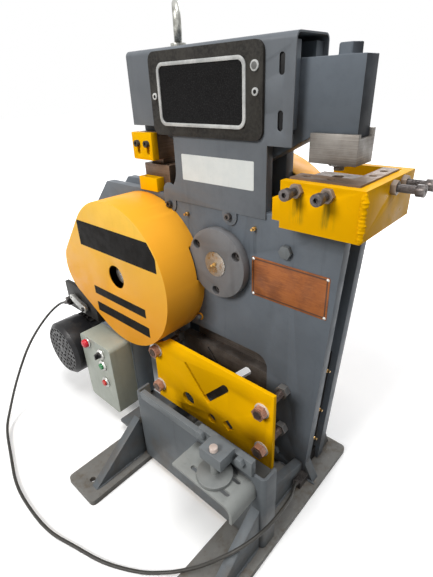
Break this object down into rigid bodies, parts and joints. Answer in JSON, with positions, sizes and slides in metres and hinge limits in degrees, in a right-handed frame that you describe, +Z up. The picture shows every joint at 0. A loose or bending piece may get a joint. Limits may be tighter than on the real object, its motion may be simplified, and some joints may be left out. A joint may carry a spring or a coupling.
{
  "type": "ironworker machine",
  "caption": "Upright metalworking machine with a rocking beam for punching, notching and bar shearing, driven by a geared flywheel and motor, on two feet.",
  "frame": {"origin": "centre of the four floor anchor holes, on the floor", "axes": "+X to the machine's right seen from the front, +Y to the rear, +Z up"},
  "size_m": [1.2275, 0.8487, 1.277],
  "materials": {
    "grey_paint": "semi-gloss, scuffed",
    "foot_paint": "semi-gloss, dirty at the edges",
    "yellow_paint": "gloss, thick brush marks",
    "orange_paint": "semi-gloss",
    "tool_steel": "oiled, browned",
    "bright_steel": "turned",
    "dark_steel": "black oxide, worn",
    "zinc_steel": "zinc, light rust",
    "cast_badge": "cast, dark field",
    "brass": "satin",
    "bronze": "turned",
    "gear_iron": "as cast with cut faces",
    "motor_paint": "matte",
    "cowl_paint": "matte",
    "belt_rubber": "matte",
    "cable_sheath": "matte",
    "box_paint": "satin",
    "lid_paint": "satin",
    "fitting_metal": "satin",
    "black_plastic": "gloss",
    "green_plastic": "gloss",
    "red_plastic": "gloss"
  },
  "bodies": {
    "frame": {"left_foot": "foot_paint", "right_foot": "foot_paint", "gussets": "grey_paint", "base_panel": "grey_paint", "panel_bars": "grey_paint", "work_shelf": "grey_paint", "holddown_block": "grey_paint", "front_plate": "grey_paint", "rear_plate": "grey_paint", "plate_spacers": "dark_steel", "tie_bolts": "grey_paint", "head_cover": "grey_paint", "badge_plate": "cast_badge", "socket_screws": "dark_steel", "bearing_flange": "grey_paint", "pivot_pin": "bright_steel", "grease_nipples": "brass", "lifting_eye": "bright_steel", "die_table": "yellow_paint", "die_bars": "tool_steel", "die_screws": "dark_steel", "hex_nuts": "zinc_steel", "notch_die": "tool_steel", "notch_clamp": "yellow_paint", "fixed_blade": "tool_steel", "shear_plate": "yellow_paint", "shear_studs": "dark_steel", "gear_guard": "orange_paint", "rear_cover": "grey_paint", "shaft_bushes": "bronze", "motor_bracket": "grey_paint", "motor_body": "motor_paint", "motor_cowl": "cowl_paint", "v_belts": "belt_rubber", "control_box": "box_paint", "box_lid": "lid_paint", "lid_fittings": "fitting_metal", "cable_ferrules": "dark_steel", "clutch_cable": "cable_sheath", "pedal_bracket": "grey_paint"},
    "crank": {"eccentric_shaft": "bright_steel", "bull_gear": "gear_iron"},
    "beam": {"rocker_beam": "grey_paint", "moving_blade": "tool_steel", "punch_holder": "tool_steel", "punch": "bright_steel", "notch_tool": "tool_steel", "notch_plate": "yellow_paint"},
    "slide": {"slide_block": "bronze"},
    "counter": {"countershaft": "bright_steel"},
    "wheel": {"flywheel": "gear_iron", "drive_shaft": "bright_steel"},
    "gear": {"big_gear": "gear_iron"},
    "rotor": {"motor_rotor": "gear_iron"},
    "knob": {"selector": "black_plastic"},
    "start": {"start_button": "green_plastic"},
    "stop": {"stop_button": "red_plastic"},
    "foot_pedal": {"pedal": "dark_steel"},
    "lever": {"clutch_lever": "bright_steel"},
    "screw": {"holddown_screw": "dark_steel"}
  },
  "joints": [
    {"name": "crank_turn", "type": "hinge", "parent": "frame", "child": "crank", "pos_m": [-0.051, 0.201, 0.654], "axis": [0, 1, 0], "range_deg": [0, 180]},
    {"name": "beam_rock", "type": "hinge", "parent": "frame", "child": "beam", "pos_m": [-0.06, 0.201, 0.909], "axis": [0, 1, 0], "range_deg": [0, 2.92]},
    {"name": "block_turn", "type": "hinge", "parent": "crank", "child": "slide", "pos_m": [-0.0445, 0.201, 0.654], "axis": [0, 1, 0], "range_deg": [-177.5, 0]},
    {"name": "counter_turn", "type": "hinge", "parent": "frame", "child": "counter", "pos_m": [-0.35795, 0.201, 0.57089], "axis": [0, 1, 0], "range_deg": [-881, 0]},
    {"name": "flywheel_spin", "type": "hinge", "parent": "frame", "child": "wheel", "pos_m": [-0.60649, 0.201, 0.5293], "axis": [0, 1, 0], "continuous": true},
    {"name": "big_gear_spin", "type": "hinge", "parent": "frame", "child": "gear", "pos_m": [-0.35795, 0.0775, 0.57089], "axis": [0, 1, 0], "continuous": true},
    {"name": "rotor_spin", "type": "hinge", "parent": "frame", "child": "rotor", "pos_m": [-0.655, 0.201, 0.216], "axis": [0, 1, 0], "continuous": true},
    {"name": "selector_turn", "type": "hinge", "parent": "frame", "child": "knob", "pos_m": [-0.4158, -0.085, 0.29136], "axis": [0, 1, 0], "range_deg": [-45, 45]},
    {"name": "start_press", "type": "slide", "parent": "frame", "child": "start", "axis": [0, 1, 0], "range_m": [0, 0.005], "stiffness_N_per_m": 600, "springref_m": -0.002},
    {"name": "stop_press", "type": "slide", "parent": "frame", "child": "stop", "axis": [0, 1, 0], "range_m": [0, 0.005], "stiffness_N_per_m": 600, "springref_m": -0.002},
    {"name": "pedal_press", "type": "hinge", "parent": "frame", "child": "foot_pedal", "pos_m": [0, 0.284, 0.052], "axis": [-1, 0, 0], "range_deg": [0, 10], "stiffness_Nm_per_rad": 40, "springref_deg": -4.58},
    {"name": "clutch_turn", "type": "hinge", "parent": "frame", "child": "lever", "pos_m": [-0.5994, -0.014, 0.373], "axis": [0, -1, 0], "range_deg": [0, 12]},
    {"name": "holddown_feed", "type": "slide", "parent": "frame", "child": "screw", "axis": [0, 0, 1], "range_m": [0, 0.009]}
  ],
  "couplings": [
    {"joint": "beam_rock", "follows": "crank_turn", "ratio": 0.016228},
    {"joint": "block_turn", "follows": "crank_turn", "ratio": -0.98377},
    {"joint": "counter_turn", "follows": "crank_turn", "ratio": -4.8889},
    {"joint": "big_gear_spin", "follows": "flywheel_spin", "ratio": -0.21739},
    {"joint": "rotor_spin", "follows": "flywheel_spin", "ratio": 3.8953},
    {"joint": "clutch_turn", "follows": "pedal_press", "ratio": 1.2}
  ]
}
